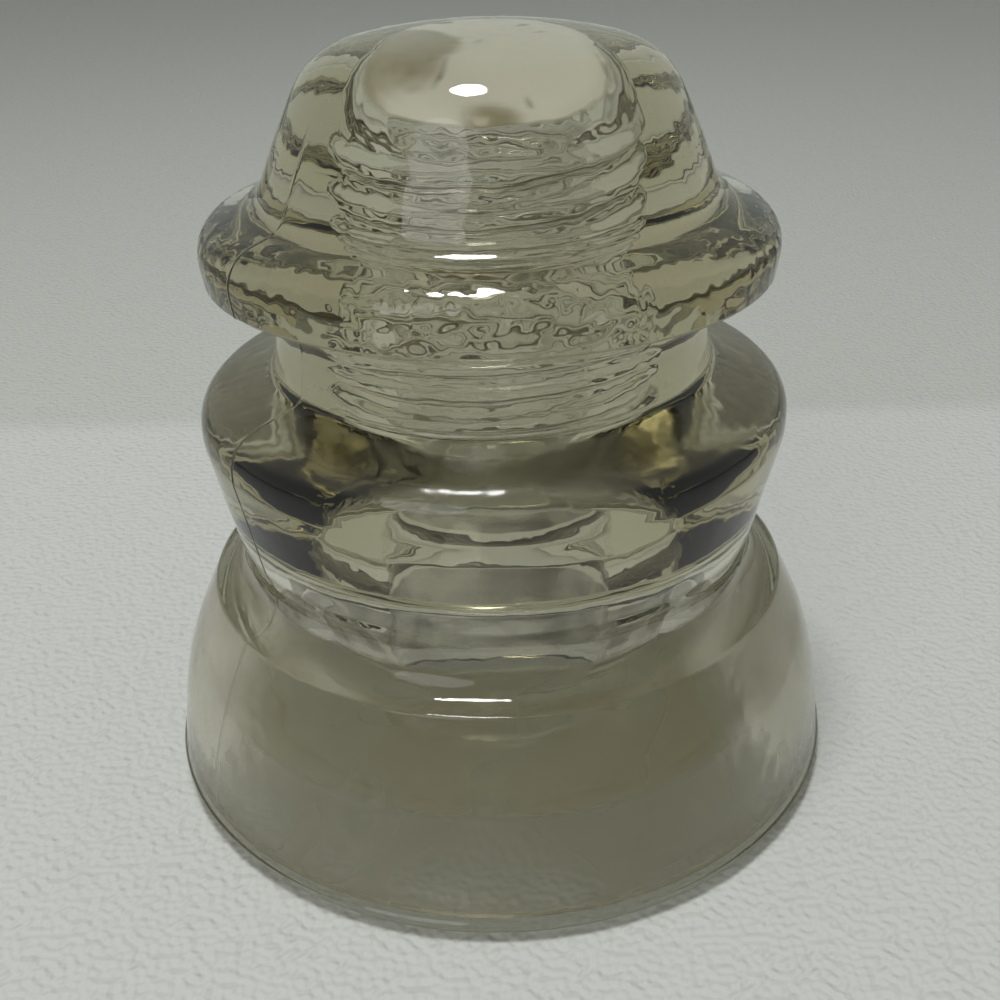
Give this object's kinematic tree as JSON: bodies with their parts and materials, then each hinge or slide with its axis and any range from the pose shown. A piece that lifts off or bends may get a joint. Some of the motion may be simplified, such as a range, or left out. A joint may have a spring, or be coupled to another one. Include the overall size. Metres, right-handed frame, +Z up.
{
  "type": "glass pin insulator",
  "caption": "Clear pressed-glass pin insulator with crown, wire groove, two flanges, flared skirt and tapered threaded pin hole.",
  "frame": {"origin": "centre of the base ring, on the surface the insulator stands on", "axes": "+Z up along the pin hole's axis, towards the crown; X and Y are equal across the turned form"},
  "size_m": [0.127, 0.127, 0.1323],
  "materials": {
    "glass": "clear pressed glass, faint straw tint"
  },
  "bodies": {
    "root": {"glass_insulator": "glass"}
  },
  "joints": []
}
